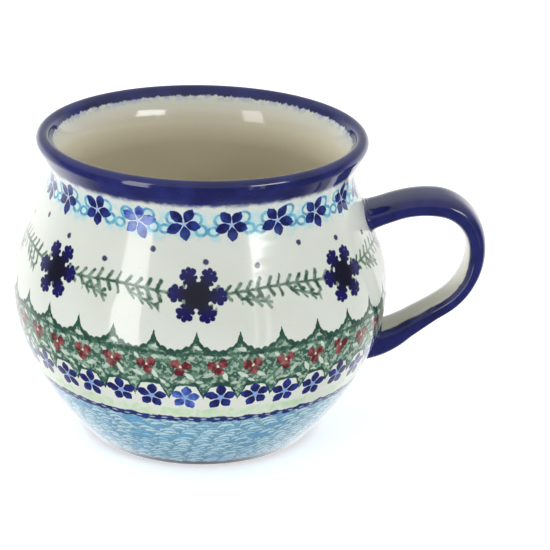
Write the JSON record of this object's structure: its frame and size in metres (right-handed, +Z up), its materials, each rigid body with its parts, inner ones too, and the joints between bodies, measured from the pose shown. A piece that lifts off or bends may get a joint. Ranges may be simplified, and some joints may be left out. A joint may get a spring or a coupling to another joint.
{
  "type": "stoneware belly mug",
  "caption": "Round-bellied stoneware mug with a flared, rounded rim and a looped strap handle on one side, glazed and decorated with stamped bands.",
  "frame": {"origin": "centre of the foot ring, on the surface that the mug stands on", "axes": "+Z up along the axis of the body; +X towards the handle"},
  "size_m": [0.1384, 0.11, 0.0904],
  "materials": {
    "glazed_body": "clear glossy glaze over an off-white stoneware body with stamped cobalt, green, red and turquoise bands; foot ring unglazed",
    "glazed_handle": "clear glossy glaze over cobalt blue, with the inside of the loop left off-white",
    "glazed_slip": "clear glossy glaze over cobalt blue"
  },
  "bodies": {
    "root": {"mug_body": "glazed_body", "handle": "glazed_handle", "upper_slip_joint": "glazed_slip", "lower_slip_joint": "glazed_slip"}
  },
  "joints": []
}
